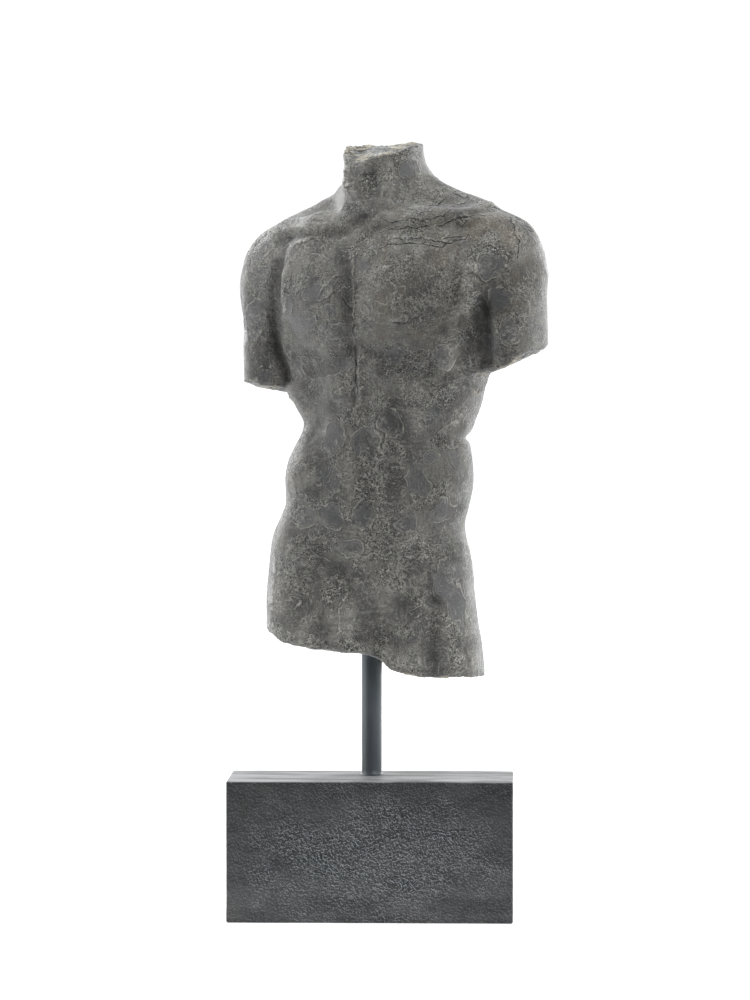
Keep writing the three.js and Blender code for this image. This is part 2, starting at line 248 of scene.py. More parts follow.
def end_relief(tree, given, height):
    """Ends such a tree: the surface moves by the height, which is also kept on it as relief."""
    normal = node(tree, "GeometryNodeInputNormal").outputs[0]
    offset = node(tree, "ShaderNodeVectorMath", {0: normal, "Scale": height}, operation="SCALE")
    inputs = {"Geometry": given.outputs["Geometry"], "Name": "relief", "Value": height}
    kept = node(tree, "GeometryNodeStoreNamedAttribute", inputs, data_type="FLOAT", domain="POINT")
    inputs = {"Geometry": kept.outputs[0], "Offset": offset.outputs[0]}
    moved = node(tree, "GeometryNodeSetPosition", inputs)
    whole = node(tree, "GeometryNodeRealizeInstances", {0: moved.outputs[0]})
    inputs = {"Geometry": whole.outputs[0], "Material": given.outputs["Material"]}
    dressed = node(tree, "GeometryNodeSetMaterial", inputs)
    tree.links.new(dressed.outputs[0], node(tree, "NodeGroupOutput").inputs[0])


def finished(name, mesh, tree, material, most=None):
    """Runs a relief tree over a mesh and makes it a smooth plain piece of no more than most triangles."""
    piece = bpy.data.objects.new(name, mesh)
    scene.collection.objects.link(piece)
    mesh.polygons.foreach_set("use_smooth", [True] * len(mesh.polygons))
    modifier = piece.modifiers.new("relief", "NODES")
    modifier.node_group = tree
    for item in tree.interface.items_tree:
        if item.in_out == "INPUT" and item.socket_type == "NodeSocketFloat":
            modifier[item.identifier] = item.default_value
        elif item.in_out == "INPUT" and item.socket_type == "NodeSocketMaterial":
            modifier[item.identifier] = material
    triangles = sum(len(face.vertices) - 2 for face in mesh.polygons)
    if most and triangles > most:
        thinner = piece.modifiers.new("thinner", "DECIMATE")
        thinner.ratio = most / triangles
    depsgraph = bpy.context.evaluated_depsgraph_get()
    made = bpy.data.meshes.new_from_object(piece.evaluated_get(depsgraph))
    piece.modifiers.clear()
    piece.data = made
    made.polygons.foreach_set("use_smooth", [True] * len(made.polygons))
    return piece


def shader_group(name, inputs, outputs):
    """Starts a shader node group with named inputs and outputs."""
    tree = bpy.data.node_groups.new(name, "ShaderNodeTree")
    for title, value in inputs.items():
        kind = "NodeSocketVector" if value is None else "NodeSocketFloat"
        socket = tree.interface.new_socket(title, in_out="INPUT", socket_type=kind)
        if value is not None:
            socket.default_value = value
    for title in outputs:
        tree.interface.new_socket(title, in_out="OUTPUT", socket_type="NodeSocketFloat")
    return tree, node(tree, "NodeGroupInput"), node(tree, "NodeGroupOutput")


# The skin that all three materials share, each at its own scale: a fine dry grain with light flecks and
# dark pits, thin wandering hairlines and a slow cloud.
cast_skin, given, told = shader_group(
    "cast skin",
    {"Place": None, "Cells": 700.0, "Hairlines": 230.0},
    ("Height", "Flecks", "Pits", "Hairs", "Cloud"),
)
place = given.outputs["Place"]
grain = noise(cast_skin, place, given.outputs["Cells"], 3.0)
hairs = lines(cast_skin, noise(cast_skin, place, given.outputs["Hairlines"], 2.0, 1.4, 2), 0.05)
patches = ramp(cast_skin, noise(cast_skin, place, 34, 2.0, 0.5, 6), 0.42, 0.62)
hairs = sums(cast_skin, "MULTIPLY", hairs, patches)
flecks = ramp(cast_skin, grain, 0.56, 0.65)
pits = ramp(cast_skin, grain, 0.44, 0.36)
height = sums(cast_skin, "MULTIPLY_ADD", hairs, 0.6, grain)
feed(cast_skin, told.inputs["Height"], height)
feed(cast_skin, told.inputs["Flecks"], flecks)
feed(cast_skin, told.inputs["Pits"], pits)
feed(cast_skin, told.inputs["Hairs"], hairs)
feed(cast_skin, told.inputs["Cloud"], noise(cast_skin, place, 14, 3.0, 0.6, 9))


def new_material(name):
    """An empty material with its shader, and the place on the surface in the object's own frame."""
    material = bpy.data.materials.new(name)
    material.use_nodes = True
    tree = material.node_tree
    place = node(tree, "ShaderNodeTexCoord").outputs["Object"]
    return material, tree, tree.nodes["Principled BSDF"], place


def blend(tree, amount, first, second):
    """Mixes two colours by an amount."""
    made = node(tree, "ShaderNodeMix", data_type="RGBA")
    feed(tree, made.inputs[0], amount)
    feed(tree, made.inputs[6], first)
    feed(tree, made.inputs[7], second)
    return made.outputs[2]


def laid(tree, colour, mask, amount, tint):
    """Lays a tint over a colour where a mask is, by an amount."""
    return blend(tree, sums(tree, "MULTIPLY", mask, amount), colour, tint)


def bump(tree, height, distance, strength, normal=None):
    """Tilts the surface by a height from 0 to 1, which stands for so many metres."""
    made = node(tree, "ShaderNodeBump", {"Height": height, "Distance": distance, "Strength": strength})
    if normal:
        tree.links.new(normal, made.inputs["Normal"])
    return made.outputs[0]


def skin_of(tree, place, cells, hairlines):
    """The shared skin, with so many grains and hairlines to a metre."""
    skin = node(tree, "ShaderNodeGroup", node_tree=cast_skin)
    feed(tree, skin.inputs["Place"], place)
    feed(tree, skin.inputs["Cells"], cells)
    feed(tree, skin.inputs["Hairlines"], hairlines)
    return skin.outputs


charcoal, tree, shader, place = new_material("charcoal cast")
skin = skin_of(tree, place, 900.0, 300.0)
# The raised rims beside the pits are also painted lighter, a painted highlight on them.
pits, highlit_rims = wormy_pits(tree, place)
worn = pitted(tree, place)
# The peeled skin's ledges are painted lighter on top, a painted highlight: there the noise falls off
# towards a place just above.
peel = noise(tree, place, 480, 1.5, 0.8, 15)
just_above = vector_sum(tree, "ADD", place, (0.0003, 0, 0.0007))
ledges = sums(tree, "SUBTRACT", peel, noise(tree, just_above, 480, 1.5, 0.8, 15))
strong = sums(tree, "MULTIPLY_ADD", worn, 0.75, 0.2)
ledge_highlights = sums(tree, "MULTIPLY", ramp(tree, ledges, 0.055, 0.10), strong)
holes = sums(tree, "MULTIPLY", ramp(tree, peel, 0.48, 0.43), strong)
darkest = (0.009, 0.010, 0.011, 1)
plain = (0.015, 0.017, 0.019, 1)
colour = blend(tree, ramp(tree, skin["Cloud"], 0.35, 0.65), darkest, plain)
rust = ramp(tree, noise(tree, place, 15, 2.0, 0.5, 16), 0.54, 0.68, 0.0, 0.35)
colour = blend(tree, rust, colour, (0.046, 0.039, 0.034, 1))
for mask, amount, tint in (
    (worn, 0.5, (0.025, 0.030, 0.033, 1)),
    (ledge_highlights, 0.85, (0.30, 0.33, 0.355, 1)),
    (holes, 0.9, (0.008, 0.008, 0.009, 1)),
    (skin["Flecks"], 0.35, (0.11, 0.118, 0.125, 1)),
    (skin["Hairs"], 0.22, (0.13, 0.138, 0.144, 1)),
    (highlit_rims, 0.75, (0.20, 0.218, 0.232, 1)),
    (pits, 0.8, (0.010, 0.010, 0.011, 1)),
):
    colour = laid(tree, colour, mask, amount, tint)
# The top face is painted pale in wiped streaks as a painted glare, and the coat's sheen shows between.
wiped = noise(tree, stretched(tree, place, (0.25, 1, 1)), 60, 4.0, 0.4, 17)
above_floor = node(tree, "ShaderNodeSeparateXYZ", {0: place}).outputs[2]
top_glare = ramp(tree, above_floor, block_high.z - block_edge, block_high.z - 0.2 * block_edge)
top_glare = sums(tree, "MULTIPLY", top_glare, ramp(tree, wiped, 0.38, 0.62, 0.3, 1.0))
colour = blend(tree, top_glare, colour, (0.36, 0.367, 0.378, 1))
feed(tree, shader.inputs["Base Color"], colour)
feed(tree, shader.inputs["Roughness"], ramp(tree, skin["Cloud"], 0.3, 0.7, 0.40, 0.52))
fine = bump(tree, skin["Height"], 0.0003, 0.5)
fine = bump(tree, peel, 0.001, 0.9, fine)
fine = bump(tree, highlit_rims, 0.0004, 0.7, fine)
feed(tree, shader.inputs["Normal"], bump(tree, sums(tree, "MULTIPLY", pits, -1.0), 0.0005, 0.8, fine))
coat = ramp(tree, wiped, 0.4, 0.6, 0.2, 0.75)
coat = sums(tree, "MULTIPLY", coat, sums(tree, "SUBTRACT", 1.0, top_glare))
feed(tree, shader.inputs["Coat Weight"], coat)
shader.inputs["Coat Roughness"].default_value = 0.3
shader.inputs["Specular IOR Level"].default_value = 0.3

tree, given = relief_tree("block relief", {"Pit depth": 0.0005, "Swell": 0.0005})
place = node(tree, "GeometryNodeInputPosition").outputs[0]
swell = sums(tree, "SUBTRACT", noise(tree, place, 30, 2.0, 0, 4), 0.5)
swell = sums(tree, "MULTIPLY", swell, given.outputs["Swell"])
hollow, rim = wormy_pits(tree, place)
hollow = sums(tree, "SUBTRACT", sums(tree, "MULTIPLY", rim, 0.6), hollow)
hollow = sums(tree, "MULTIPLY", hollow, given.outputs["Pit depth"])
end_relief(tree, given, sums(tree, "ADD", swell, hollow))

block_mesh = rounded_box("block casting", block_low, block_high, block_edge, block_steps)
block = finished("block_casting", block_mesh, tree, charcoal)
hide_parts("block")
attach(block, "root")

# Post. A 19 mm round steel tube with a satin slate coat. It stands in the block's hole and flares to
# a small weld-like foot there, and its top is out of sight in the torso's socket.
post_low, post_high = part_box("post")
post_radius = 0.0095
post_centre = ((post_low.x + post_high.x) / 2, (post_low.y + post_high.y) / 2)
post_sides = 96
foot_height = 0.005
foot_spread = (post_high.x - post_low.x) / 2 - post_radius
foot_steps = 8
foot_gap = 0.0003
foot_at = block_high.z + foot_gap
tube_steps = 24

profile = [(post_radius, post_low.z), (post_radius, foot_at)]
for i in range(foot_steps + 1):
    turn = math.radians(90) * i / foot_steps
    out = foot_spread * (1 - math.sin(turn))
    profile.append((post_radius + out, foot_at + foot_height * (1 - math.cos(turn))))
tube_start = foot_at + foot_height
for i in range(1, tube_steps + 1):
    profile.append((post_radius, tube_start + (post_high.z - tube_start) * i / tube_steps))

shape = bmesh.new()
rings = []
for radius, z in profile:
    ring = []
    for i in range(post_sides):
        angle = math.tau * i / post_sides
        x = post_centre[0] + radius * math.cos(angle)
        ring.append(shape.verts.new((x, post_centre[1] + radius * math.sin(angle), z)))
    rings.append(ring)
for lower, upper in zip(rings, rings[1:]):
    for i in range(post_sides):
        j = (i + 1) % post_sides
        shape.faces.new((lower[i], lower[j], upper[j], upper[i]))
shape.faces.new(rings[0][::-1])
shape.faces.new(rings[-1])
post_mesh = bpy.data.meshes.new("post tube")
shape.to_mesh(post_mesh)
shape.free()

slate_coat, tree, shader, place = new_material("slate coat")
skin = skin_of(tree, place, 1500.0, 500.0)
streaks = noise(tree, stretched(tree, place, (1, 1, 0.06)), 420, 3.0)
dark_coat = (0.064, 0.077, 0.087, 1)
light_coat = (0.079, 0.093, 0.104, 1)
colour = blend(tree, ramp(tree, skin["Cloud"], 0.35, 0.65), dark_coat, light_coat)
colour = blend(tree, ramp(tree, streaks, 0.35, 0.8, 0.0, 0.3), colour, (0.095, 0.106, 0.113, 1))
feed(tree, shader.inputs["Base Color"], colour)
shader.inputs["Metallic"].default_value = 0.35
feed(tree, shader.inputs["Roughness"], ramp(tree, streaks, 0.3, 0.7, 0.36, 0.48))
feed(tree, shader.inputs["Normal"], bump(tree, skin["Height"], 0.0002, 0.25))
post_mesh.materials.append(slate_coat)

post = bpy.data.objects.new("post_tube", post_mesh)
scene.collection.objects.link(post)
post_mesh.polygons.foreach_set("use_smooth", [len(face.vertices) == 4 for face in post_mesh.polygons])
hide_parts("post")
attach(post, "root")

# Torso. One hollow resin casting with a skin like worn slate, rubbed with a lighter wash. Its main
# form is the modelled solid, rounded off between its facets, with the breaks' rims left crisp.
figure_height = 0.495
unit = figure_height / 100
lost_at_break = 0.0011
figure_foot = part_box("torso")[0].z - lost_at_break
rim_angle = math.radians(38)
skin_cell = 0.0016
torso_triangles = 192000

shape = bmesh.new()
shape.from_mesh(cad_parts["torso"].data)
bmesh.ops.remove_doubles(shape, verts=shape.verts, dist=1e-5)
flat_enough = math.radians(50)
bmesh.ops.join_triangles(
    shape, faces=shape.faces, angle_face_threshold=flat_enough, angle_shape_threshold=flat_enough
)
crease = shape.edges.layers.float.new("crease_edge")
for edge in shape.edges:
    if len(edge.link_faces) == 2 and edge.calc_face_angle_signed(0) > rim_angle:
        edge[crease] = 1.0
rounded = bpy.data.meshes.new("torso rounded")
shape.to_mesh(rounded)
shape.free()
blank = bpy.data.objects.new("torso blank", rounded)
scene.collection.objects.link(blank)
rounder = blank.modifiers.new("round", "SUBSURF")
rounder.levels = rounder.render_levels = 2
cells = blank.modifiers.new("cells", "REMESH")
cells.mode = "VOXEL"
cells.voxel_size = skin_cell
smoother = blank.modifiers.new("smooth", "SMOOTH")
smoother.factor = 0.5
smoother.iterations = 3
depsgraph = bpy.context.evaluated_depsgraph_get()
torso_mesh = bpy.data.meshes.new_from_object(blank.evaluated_get(depsgraph))
bpy.data.objects.remove(blank)

# The figure's pose, as the solid has it, so that carving can be set out on the figure at rest: x
# across from the midline, y from front to back and z up, in hundredths of its height.
chest_turn = 24
chest_lean = 3.2
thigh_lean = 0.9
neck_lean = -1.1
hip_drop = 8
shoulder_lift = 3


def rise(value, low, high):
    """Goes smoothly from 0 below low to 1 above high."""
    t = np.clip((value - low) / (high - low), 0, 1)
    return t * t * (3 - 2 * t)


count = len(torso_mesh.vertices)
points = np.empty(count * 3)
torso_mesh.vertices.foreach_get("co", points)
points = points.reshape(-1, 3)
normals = np.empty(count * 3)
torso_mesh.vertex_normals.foreach_get("vector", normals)
normals = normals.reshape(-1, 3)

x = points[:, 0] / unit
y = (points[:, 1] - post_centre[1]) / unit
z = (points[:, 2] - figure_foot) / unit
up = rise(z, 22, 62)
level = z + x * np.tan(np.radians(hip_drop + (-shoulder_lift - hip_drop) * up))
turn = np.radians(chest_turn) * up
swayed = x - thigh_lean * (1 - rise(z, 0, 18)) - chest_lean * rise(z, 20, 56)
swayed -= neck_lean * rise(z, 84, 98)
across = np.cos(turn) * swayed - np.sin(turn) * y
facing = np.sin(turn) * normals[:, 0] + np.cos(turn) * normals[:, 1]
front = rise(-facing, 0.05, 0.5)
rear = rise(facing, 0.05, 0.5)
out = np.abs(across)


def stroke(path, width, side, height):
    """How strongly each point, at so far aside and so high, lies under a stroke along a path, up to 1."""
    nearest = np.full(count, 1e9)
    for (x0, z0), (x1, z1) in zip(path, path[1:]):
        dx, dz = x1 - x0, z1 - z0
        along = np.clip(((side - x0) * dx + (height - z0) * dz) / (dx * dx + dz * dz), 0, 1)
        nearest = np.minimum(nearest, np.hypot(side - x0 - along * dx, height - z0 - along * dz))
    return np.exp(-((nearest / width) ** 2))


# The carving, the same on both halves of the figure: each line is a path from the midline outwards, the
# stroke's width, and how far it stands out or, below zero, cuts in.
front_strokes = [
    ([(0, 84), (0, 60)], 0.9, -0.22),
    ([(0, 58), (0, 30)], 0.9, -0.16),
    ([(0, 15), (0, 3)], 1.0, -0.6),
    ([(1.5, 61), (6, 59.8), (11, 61), (15.5, 65), (17.6, 70)], 1.1, -0.4),
    ([(2.2, 86.2), (8, 85.4), (14, 86.2), (20, 86.4)], 0.9, 0.35),
    ([(2.6, 83.6), (9, 82.9), (15, 84), (19, 83.4)], 1.0, -0.35),
    ([(0, 88.6), (0, 85.6)], 1.3, -0.2),
    ([(17.6, 83), (18.4, 77), (18.2, 71), (19, 63)], 0.9, -0.45),
    ([(2, 55.5), (6, 52), (10, 48), (12.6, 44.4)], 1.3, -0.3),
    ([(12.5, 58), (16, 60.6)], 0.9, -0.14),
    ([(11.6, 54), (15.8, 57)], 0.9, -0.14),
    ([(10.8, 50), (15.2, 53)], 0.9, -0.12),
    ([(16, 33), (11, 28.6), (7, 23.8), (3.5, 18.4), (1, 14.6)], 1.2, -0.22),
    ([(0.4, 50), (8.6, 51)], 0.9, -0.15),
    ([(0.4, 43.6), (8.8, 44.4)], 0.9, -0.15),
]
rear_strokes = [
    ([(0, 84), (0, 32)], 1.3, -1.0),
    ([(6, 82), (7, 74), (9.6, 65), (14.5, 63)], 1.4, -1.0),
    ([(8.6, 82), (9.4, 74), (11.6, 67)], 1.8, 0.6),
    ([(3, 56), (3.4, 44), (3, 34)], 1.8, 0.6),
    ([(12, 31), (7, 29.4), (2, 27)], 1.4, -0.7),
    ([(4, 88), (12, 84), (19, 82)], 1.5, -0.4),
    ([(2, 27.5), (0, 22), (0, 6)], 1.2, -0.9),
    ([(2, 7.5), (8, 5.6), (14, 7.4)], 1.2, -0.7),
    ([(17.8, 80), (18.6, 72), (19, 62)], 1.0, -0.6),
]
moved = np.zeros(count)
for strokes, where in ((front_strokes, front), (rear_strokes, rear)):
    for path, width, height in strokes:
        moved += height * (where * stroke(path, width, out, level))


def near_path(path, width):
    """A stroke along a path as the camera sees it, in millimetres across and up, on front and back."""
    return stroke(path, width, points[:, 0] * 1000, (points[:, 2] - figure_foot) * 1000)


def front_mark(path, width):
    """The same on the front alone."""
    return rise(-normals[:, 1], -0.1, 0.3) * near_path(path, width)


def softened(amount, times):
    """Smooths the skin where the amount is above 0 by pulling each point towards its neighbours."""
    ends = np.empty(len(torso_mesh.edges) * 2, dtype=np.int64)
    torso_mesh.edges.foreach_get("vertices", ends)
    first, second = ends[0::2], ends[1::2]
    neighbours = np.bincount(ends, minlength=count)
    made = points.copy()
    for _ in range(times):
        for axis in range(3):
            line = made[:, axis]
            total = np.bincount(first, line[second], count) + np.bincount(second, line[first], count)
            made[:, axis] += amount * (total / neighbours - line)
    return made


# What only one side has: paths in millimetres across from the post and up from the torso's lowest
# point, with the stroke's width and height in millimetres.
front_marks = [
    ([(103, 344), (105, 322), (105, 294)], 6.5, -8.0),
    ([(94, 376), (97, 362)], 9, 2.5),
    ([(92, 356), (83, 323), (69, 294)], 8, 4.5),
    ([(-88, 385), (-92, 349), (-89, 308), (-78, 275)], 4.5, -4.5),
    ([(-81, 372), (-83, 308), (-69, 273)], 4, 1.4),
    ([(-74, 296), (-50, 284), (-28, 290), (-17, 306)], 6, -1.8),
    ([(-4, 306), (18, 291), (48, 283), (76, 300)], 7, -1.6),
    ([(-20, 396), (-19, 308)], 5.5, -1.5),
    ([(-9, 392), (-9, 240)], 3.5, 0.9),
    ([(-14, 308), (-13, 257)], 1.8, -1.2),
    ([(5, 436), (5, 428)], 4, -2.0),
    ([(-22, 470), (-14, 450), (-6, 430)], 3.2, 3.4),
    ([(18, 472), (18, 437)], 3, 1.8),
    ([(13, 452), (4, 431)], 2.2, 2.0),
    ([(2, 464), (6, 446)], 4.5, -2.6),
    ([(-80, 415), (-50, 418), (-22, 418)], 3, 1.6),
    ([(-76, 408), (-50, 410), (-22, 411)], 3.5, -1.3),
    ([(96, 434), (119, 440), (138, 432)], 2.4, 2.0),
    ([(94, 429), (119, 434), (138, 426)], 2.0, -2.0),
    ([(-64, 128), (-32, 107), (-4, 62)], 7, -1.2),
    ([(86, 146), (64, 100), (26, 62), (12, 36)], 7, -1.2),
    ([(58, 74), (58, 20)], 6, -2.4),
    ([(44, 72), (46, 18)], 5, 1.2),
    ([(-46, 60), (-44, 34)], 7, -2.0),
    ([(-18, 70), (-16, 36)], 5, 1.4),
]
# Places where the solid's facets and steps are smoothed off first.
rough_places = front_mark([(90, 350), (100, 325), (103, 296)], 18)
rough_places += front_mark([(-90, 330), (-84, 280)], 12)
rough_places += near_path([(126, 430), (156, 404)], 14)
rough_places += front_mark([(96, 292), (108, 286)], 12)
rough_places += front_mark([(-60, 262), (-54, 215)], 20)
smoothing_rounds = 60
points = softened(np.clip(rough_places, 0, 0.9), smoothing_rounds)
marked = np.zeros(count)
for path, width, depth in front_marks:
    marked += depth * front_mark(path, width)
points += normals * (moved * unit + marked / 1000)[:, None]
# A fold at the left of the waist, which also notches its outline.
fold_depth = 0.004
fold_lip = 0.0015
fold = fold_depth * near_path([(104, 229), (92, 222), (80, 219)], 3.5)
fold -= fold_lip * near_path([(102, 237), (84, 229)], 5)
points -= normals * (fold * rise(normals[:, 0], -0.2, 0.3))[:, None]
# The neck and the waist stand a little wider on the figure's right than the solid.
wider = 0.0065
for path in ([(-70, 264), (-65, 250)], [(-22, 452), (-21, 440)]):
    points[:, 0] -= wider * near_path(path, 11) * rise(-normals[:, 0], 0, 0.5)
# The left arm's break is flat and slopes up to a sharp corner on the outside.
break_inside = 0.112
break_height = 0.2846
break_slope = 0.48
break_strength = 0.85
above_cut = points[:, 2] - figure_foot - break_height - break_slope * (points[:, 0] - break_inside)
on_arm = rise(points[:, 0], 0.100, break_inside) * rise(z, 48, 50)
points[:, 2] -= break_strength * on_arm * np.minimum(above_cut, 0)
# The neck's broken top slopes: its front right is torn lower, and behind that it stands higher.
torn_down = 0.0075
standing_up = 0.0055
top = rise(z, 91, 97)
forwards = rise(-normals[:, 1] + y * -0.1, -0.4, 0.6)
points[:, 2] -= torn_down * top * near_path([(-12, 488), (-12, 470)], 9) * forwards
points[:, 2] += standing_up * top * near_path([(-26, 490), (-24, 476)], 10) * rise(y, -2, 3)
torso_mesh.vertices.foreach_set("co", points.ravel())
torso_mesh.update()

# Masks on the skin: the raw breaks, and the brown tint on the left of the chest.
end_down = rise(-normals[:, 2], 0.45, 0.7)
neck_break = rise(z, 93.5, 95.5) * rise(normals[:, 2], 0.5, 0.8)
arm_breaks = end_down * rise(out, 16.5, 18.5) * rise(z, 48, 50) * (1 - rise(z, 66, 68))
thigh_breaks = end_down * (1 - rise(z, 12, 14))
broken = np.clip(neck_break + arm_breaks + thigh_breaks, 0, 1)
brown = rise(level, 58, 66) * (1 - rise(level, 84, 90)) * rise(across, -4, 6) * front
brown *= 1 - front_mark([(100, 360), (102, 300)], 22)
# Places on the front of the skin, as the camera sees them: how far across from the post and up from
# the torso's lowest point, then half the width and half the height, all in millimetres.
plate_places = [
    (-62, 329, 12, 12),
    (-39, 318, 11, 8),
    (-37, 340, 9, 5),
    (-48, 357, 14, 8),
    (-4, 341, 4, 5),
    (-9, 380, 7, 9),
    (19, 238, 10, 14),
    (59, 241, 9, 10),
    (-34, 222, 10, 15),
    (-37, 187, 11, 13),
    (56, 205, 7, 6),
    (78, 204, 5, 7),
    (65, 156, 8, 11),
    (-60, 149, 10, 10),
    (-35, 152, 11, 10),
    (34, 144, 8, 8),
    (73, 100, 12, 9),
    (-16, 122, 12, 7),
    (110, 381, 11, 14),
    (119, 351, 9, 12),
    (128, 322, 9, 12),
    (112, 310, 8, 9),
    (70, 298, 9, 14),
    (-110, 330, 9, 20),
    (-106, 372, 12, 9),
    (-66, 290, 10, 8),
    (-24, 292, 12, 7),
    (24, 300, 10, 7),
    (80, 66, 8, 20),
]
# Darker places: dark patches of the skin, with painted shade in the crease of the left armpit and on the
# shaded side of the sternum's groove.
dark_and_painted_shade_places = [
    (19, 238, 9, 13),
    (50, 104, 10, 6),
    (58, 48, 5, 28),
    (-20, 338, 5, 28),
    (8, 190, 16, 42),
    (-46, 46, 8, 10),
    (100, 352, 6, 26),
    (50, 340, 12, 12),
    (-55, 100, 14, 8),
    (4, 415, 6, 8),
]
# Paler places: pale patches of the skin, with painted light on the side of the left pec that faces the
# light and on the lit band beside the sternum's groove.
pale_and_painted_light_places = [
    (112, 436, 10, 3),
    (-9, 330, 5, 60),
    (6, 150, 5, 26),
    (64, 116, 20, 5),
    (38, 126, 16, 7),
    (-60, 415, 30, 4),
    (-20, 205, 4, 20),
    (72, 232, 10, 6),
    (-78, 176, 8, 10),
    (75, 322, 6, 30),
]
coral_places = [
    (0, 190, 14, 46),
    (8, 140, 12, 30),
    (40, 120, 24, 12),
    (-50, 128, 22, 12),
    (-8, 395, 14, 12),
    (42, 290, 20, 12),
]


far_outside = 0.01


def placed_depth(places):
    """How far inside the nearest of some ovals on the front each point lies, in metres."""
    deepest = np.full(count, -far_outside)
    for place_x, place_z, wide, tall in places:
        along = (points[:, 0] * 1000 - place_x) / wide
        above = ((points[:, 2] - figure_foot) * 1000 - place_z) / tall
        angle = np.arctan2(above, along) + place_x
        uneven = 1 + 0.16 * np.sin(2 * angle + place_z) + 0.10 * np.sin(3 * angle)
        far = np.hypot(along, above) * uneven
        deepest = np.maximum(deepest, (1 - far) * min(wide, tall) / 1000)
    return np.where(facing < 0.1, deepest, -far_outside)


# Cracks, in millimetres across and up as before: long ones between the layers of the left collarbone and
# shoulder, and some short ones lower down.
crack_paths = [
    [(7, 422), (21, 420), (36, 424), (52, 422), (67, 427), (80, 438), (96, 440)],
    [(7, 411), (20, 415), (41, 416), (52, 418), (65, 418), (80, 425), (100, 428), (118, 425), (124, 418)],
    [(102, 435), (118, 434), (131, 429), (144, 418), (153, 405)],
    [(74, 446), (85, 444), (91, 447)],
    [(30, 436), (44, 433), (58, 436), (68, 442), (82, 452)],
    [(96, 440), (108, 432), (116, 431)],
    [(120, 430), (132, 420), (137, 402), (134, 386)],
    [(100, 392), (106, 400), (114, 400), (119, 392)],
    [(40, 430), (60, 431)],
    [(14, 404), (40, 406), (66, 404), (92, 410)],
    [(7, 398), (40, 402), (66, 399), (92, 408)],
    [(-28, 353), (-17, 341), (-14, 318)],
    [(-13, 300), (-12, 262)],
    [(20, 330), (34, 328), (40, 333)],
]
# Veins: single raised lines, most of them where a muscle ends.
vein_paths = [
    [(-16, 396), (-16, 350), (-15, 300), (-13, 262)],
    [(-57, 275), (-43, 279), (-26, 284)],
    [(-83, 307), (-71, 290), (-62, 276)],
    [(-78, 304), (-66, 288), (-58, 278)],
    [(-74, 300), (-60, 286)],
    [(-66, 372), (-78, 352), (-82, 330)],
    [(-60, 374), (-73, 350)],
    [(-70, 386), (-50, 392), (-36, 389)],
    [(-4, 352), (12, 346), (22, 347)],
    [(-2, 352), (4, 336)],
    [(95, 222), (76, 214), (64, 218)],
    [(60, 226), (72, 236), (82, 238)],
    [(-92, 170), (-84, 158), (-80, 140)],
    [(46, 128), (60, 124), (84, 128)],
    [(28, 126), (44, 132), (52, 127)],
    [(140, 380), (146, 360), (147, 332)],
    [(116, 336), (116, 322), (126, 306)],
    [(-20, 118), (-4, 114), (10, 118)],
    [(-30, 40), (-28, 62), (-20, 84)],
    [(-64, 128), (-50, 116), (-34, 108)],
    [(-46, 408), (-66, 404), (-84, 396)],
    [(-24, 376), (-40, 366), (-50, 352)],
    [(-86, 240), (-80, 224), (-70, 214)],
]


def along_paths(paths):
    """How far each point of the front lies above the nearest path, in metres, and the path's strength."""
    nearest = np.full(count, 2 * far_outside)
    above = nearest.copy()
    strength = np.zeros(count)
    for path in paths:
        steps = [math.dist(first, second) for first, second in zip(path, path[1:])]
        done = 0.0
        for (x0, z0), (x1, z1), step in zip(path, path[1:], steps):
            dx, dz = (x1 - x0) / step, (z1 - z0) / step
            seen_x, seen_z = points[:, 0] * 1000 - x0, (points[:, 2] - figure_foot) * 1000 - z0
            along = np.clip(seen_x * dx + seen_z * dz, 0, step)
            far = np.hypot(seen_x - along * dx, seen_z - along * dz) / 1000
            closer = far < nearest
            side = np.where(seen_z * dx - seen_x * dz > 0, 1, -1)
            to_end = np.minimum(done + along, sum(steps) - done - along)
            nearest = np.where(closer, far, nearest)
            above = np.where(closer, far * side, above)
            here = rise(to_end, 0.3, 4) * rise(0.006 - far, 0, 0.0015)
            strength = np.where(closer, here, strength)
            done += step
    return above, strength * (facing < 0.1)


crack, crack_strength = along_paths(crack_paths)
vein, vein_strength = along_paths(vein_paths)
plate = placed_depth(plate_places)
dark = placed_depth(dark_and_painted_shade_places)
pale = placed_depth(pale_and_painted_light_places)
coral = placed_depth(coral_places)
# A factor on the skin's colour, with painted light and shade in it: lighter on the thighs and the neck,
# darker at the right of the neck's base, painted shade on a patch at the right of the waist and in the
# carved hollows, and painted light on the carved ridges with painted shade in the carved grooves.
lightness_with_painted_shading = 1 + 0.25 * (1 - rise(z, 6, 26)) + 0.32 * rise(z, 74, 84)
lightness_with_painted_shading -= 0.25 * front_mark([(-60, 262), (-52, 215)], 16)
lightness_with_painted_shading -= 0.35 * np.clip(-moved, 0, 1)
lightness_with_painted_shading -= 0.35 * near_path([(-26, 448), (-16, 436)], 9)
lightness_with_painted_shading += np.clip(0.17 * marked, -0.45, 0.5)
skin_masks = {
    "broken": broken,
    "crack": crack,
    "crack strength": crack_strength,
    "vein": vein,
    "vein strength": vein_strength,
    "brown": brown,
    "plate": plate,
    "dark": dark,
    "pale": pale,
    "coral": coral,
    "lightness_with_painted_shading": lightness_with_painted_shading,
}
for name, mask in skin_masks.items():
    attribute = torso_mesh.attributes.new(name, "FLOAT", "POINT")
    attribute.data.foreach_set("value", mask.astype(np.float32))


plate_cells = 40.0


def warped(tree, place, scale, reach):
    """The place, pushed about by cloudy noise, by about as much as reach, in metres."""
    cloud = {"Vector": place, "Scale": scale, "Detail": 2.0}
    push = node(tree, "ShaderNodeTexNoise", cloud).outputs["Color"]
    push = vector_sum(tree, "SUBTRACT", push, (0.5, 0.5, 0.5))
    return vector_sum(tree, "ADD", place, vector_sum(tree, "MULTIPLY", push, (4 * reach,) * 3))


